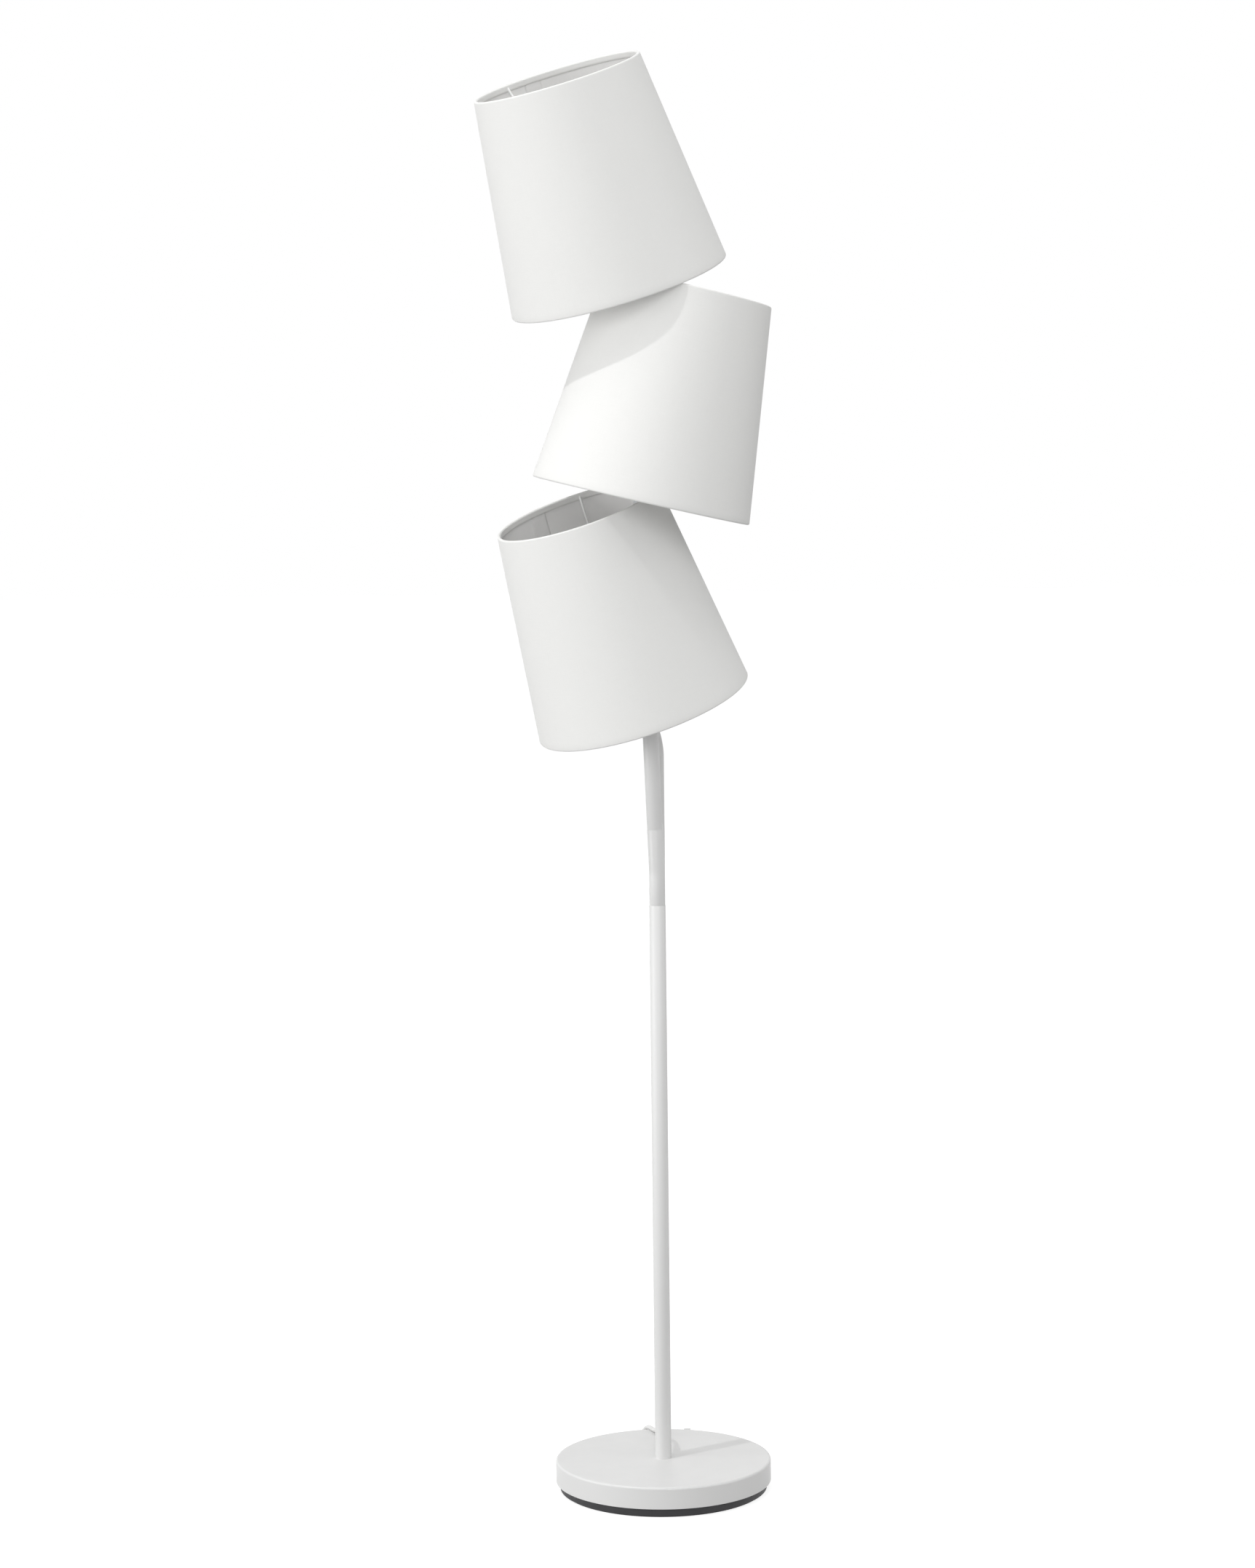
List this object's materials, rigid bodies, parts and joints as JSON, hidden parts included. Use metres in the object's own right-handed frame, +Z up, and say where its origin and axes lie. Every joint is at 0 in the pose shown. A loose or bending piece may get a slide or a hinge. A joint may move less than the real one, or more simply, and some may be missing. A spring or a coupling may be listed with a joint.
{
  "type": "tension pole lamp",
  "caption": "Floor lamp with a weighted round base, an upright pole that branches, and tapered fabric shades set at different tilts.",
  "frame": {"origin": "centre of the round base on the floor", "axes": "+Z up along the pole, +X to the right seen from the front, -Y to the front"},
  "size_m": [0.33, 0.3731, 1.6496],
  "materials": {
    "white_paint": "satin powder coat",
    "cast_weight": "raw casting",
    "dark_plate": "fine grained",
    "felt": "pressed felt",
    "zinc": "zinc plated",
    "brass": "plain",
    "holder_plastic": "satin moulded",
    "holder_core_plastic": "glazed insulator",
    "wire_white": "white coated wire",
    "shade_liner": "stiff laminate",
    "shade_cloth": "plain fine weave",
    "bulb_glass": "frosted white",
    "bulb_metal": "thin rolled cap",
    "cord_white": "smooth sheath",
    "tie_black": "soft strap",
    "switch_white": "moulded",
    "plug_white": "moulded",
    "pin_metal": "nickel plated pins"
  },
  "bodies": {
    "stand": {"base_cover": "white_paint", "base_weight": "cast_weight", "base_plate": "dark_plate", "base_felt": "felt", "base_bolt": "zinc", "base_washer": "zinc", "plate_screws": "zinc", "pole_plug": "zinc", "pole": "white_paint", "lower_fork": "white_paint", "middle_tube": "white_paint", "upper_fork": "white_paint", "low_arm": "white_paint", "mid_arm": "white_paint", "top_arm": "white_paint", "set_screws": "zinc", "nipples": "zinc", "lock_nuts": "zinc", "holder_contacts": "brass", "low_holder_cap": "holder_plastic", "low_holder_sleeve": "holder_plastic", "low_holder_core": "holder_core_plastic", "mid_holder_cap": "holder_plastic", "mid_holder_sleeve": "holder_plastic", "mid_holder_core": "holder_core_plastic", "top_holder_cap": "holder_plastic", "top_holder_sleeve": "holder_plastic", "top_holder_core": "holder_core_plastic", "inner_leads": "cord_white", "strain_relief": "cord_white", "cord_lead": "cord_white", "cord_tail": "cord_white", "cord_coil": "cord_white", "cord_tie": "tie_black", "switch_base": "switch_white", "switch_cover": "switch_white", "plug_body": "plug_white", "plug_pins": "pin_metal"},
    "rocker": {"switch_rocker": "switch_white"},
    "low_lampshade": {"low_spider": "wire_white", "low_wire_rings": "wire_white", "low_liner": "shade_liner", "low_shade": "shade_cloth"},
    "low_nut": {"low_ring_nut": "holder_plastic"},
    "low_bulb": {"low_bulb_glass": "bulb_glass", "low_bulb_cap": "bulb_metal"},
    "mid_lampshade": {"mid_spider": "wire_white", "mid_wire_rings": "wire_white", "mid_liner": "shade_liner", "mid_shade": "shade_cloth"},
    "mid_nut": {"mid_ring_nut": "holder_plastic"},
    "mid_bulb": {"mid_bulb_glass": "bulb_glass", "mid_bulb_cap": "bulb_metal"},
    "top_lampshade": {"top_spider": "wire_white", "top_wire_rings": "wire_white", "top_liner": "shade_liner", "top_shade": "shade_cloth"},
    "top_nut": {"top_ring_nut": "holder_plastic"},
    "top_bulb": {"top_bulb_glass": "bulb_glass", "top_bulb_cap": "bulb_metal"}
  },
  "joints": [
    {"name": "low_shade_turn", "type": "hinge", "parent": "stand", "child": "low_lampshade", "pos_m": [-0.03216, 0.0114, 0.96871], "axis": [-0.2963, -0.1969, 0.9346], "range_deg": [-60, 4]},
    {"name": "low_nut_turn", "type": "hinge", "parent": "stand", "child": "low_nut", "pos_m": [-0.03216, 0.0114, 0.96871], "axis": [-0.2963, -0.1969, 0.9346], "range_deg": [0, 720]},
    {"name": "low_bulb_turn", "type": "hinge", "parent": "stand", "child": "low_bulb", "pos_m": [-0.03216, 0.0114, 0.96871], "axis": [-0.2963, -0.1969, 0.9346], "range_deg": [0, 720]},
    {"name": "mid_shade_turn", "type": "hinge", "parent": "stand", "child": "mid_lampshade", "pos_m": [0.00102, -0.01724, 1.20917], "axis": [0.2315, -0.0132, 0.9727], "range_deg": [-10, 50]},
    {"name": "mid_nut_turn", "type": "hinge", "parent": "stand", "child": "mid_nut", "pos_m": [0.00102, -0.01724, 1.20917], "axis": [0.2315, -0.0132, 0.9727], "range_deg": [0, 720]},
    {"name": "mid_bulb_turn", "type": "hinge", "parent": "stand", "child": "mid_bulb", "pos_m": [0.00102, -0.01724, 1.20917], "axis": [0.2315, -0.0132, 0.9727], "range_deg": [0, 720]},
    {"name": "top_shade_turn", "type": "hinge", "parent": "stand", "child": "top_lampshade", "pos_m": [-0.05307, -0.02979, 1.44769], "axis": [-0.2714, -0.2155, 0.938], "continuous": true},
    {"name": "top_nut_turn", "type": "hinge", "parent": "stand", "child": "top_nut", "pos_m": [-0.05307, -0.02979, 1.44769], "axis": [-0.2714, -0.2155, 0.938], "range_deg": [0, 720]},
    {"name": "top_bulb_turn", "type": "hinge", "parent": "stand", "child": "top_bulb", "pos_m": [-0.05307, -0.02979, 1.44769], "axis": [-0.2714, -0.2155, 0.938], "range_deg": [0, 720]},
    {"name": "switch_rock", "type": "hinge", "parent": "stand", "child": "rocker", "pos_m": [-0.069, 0.149, 0.011], "axis": [0, 1, 0], "range_deg": [0, 12]}
  ]
}
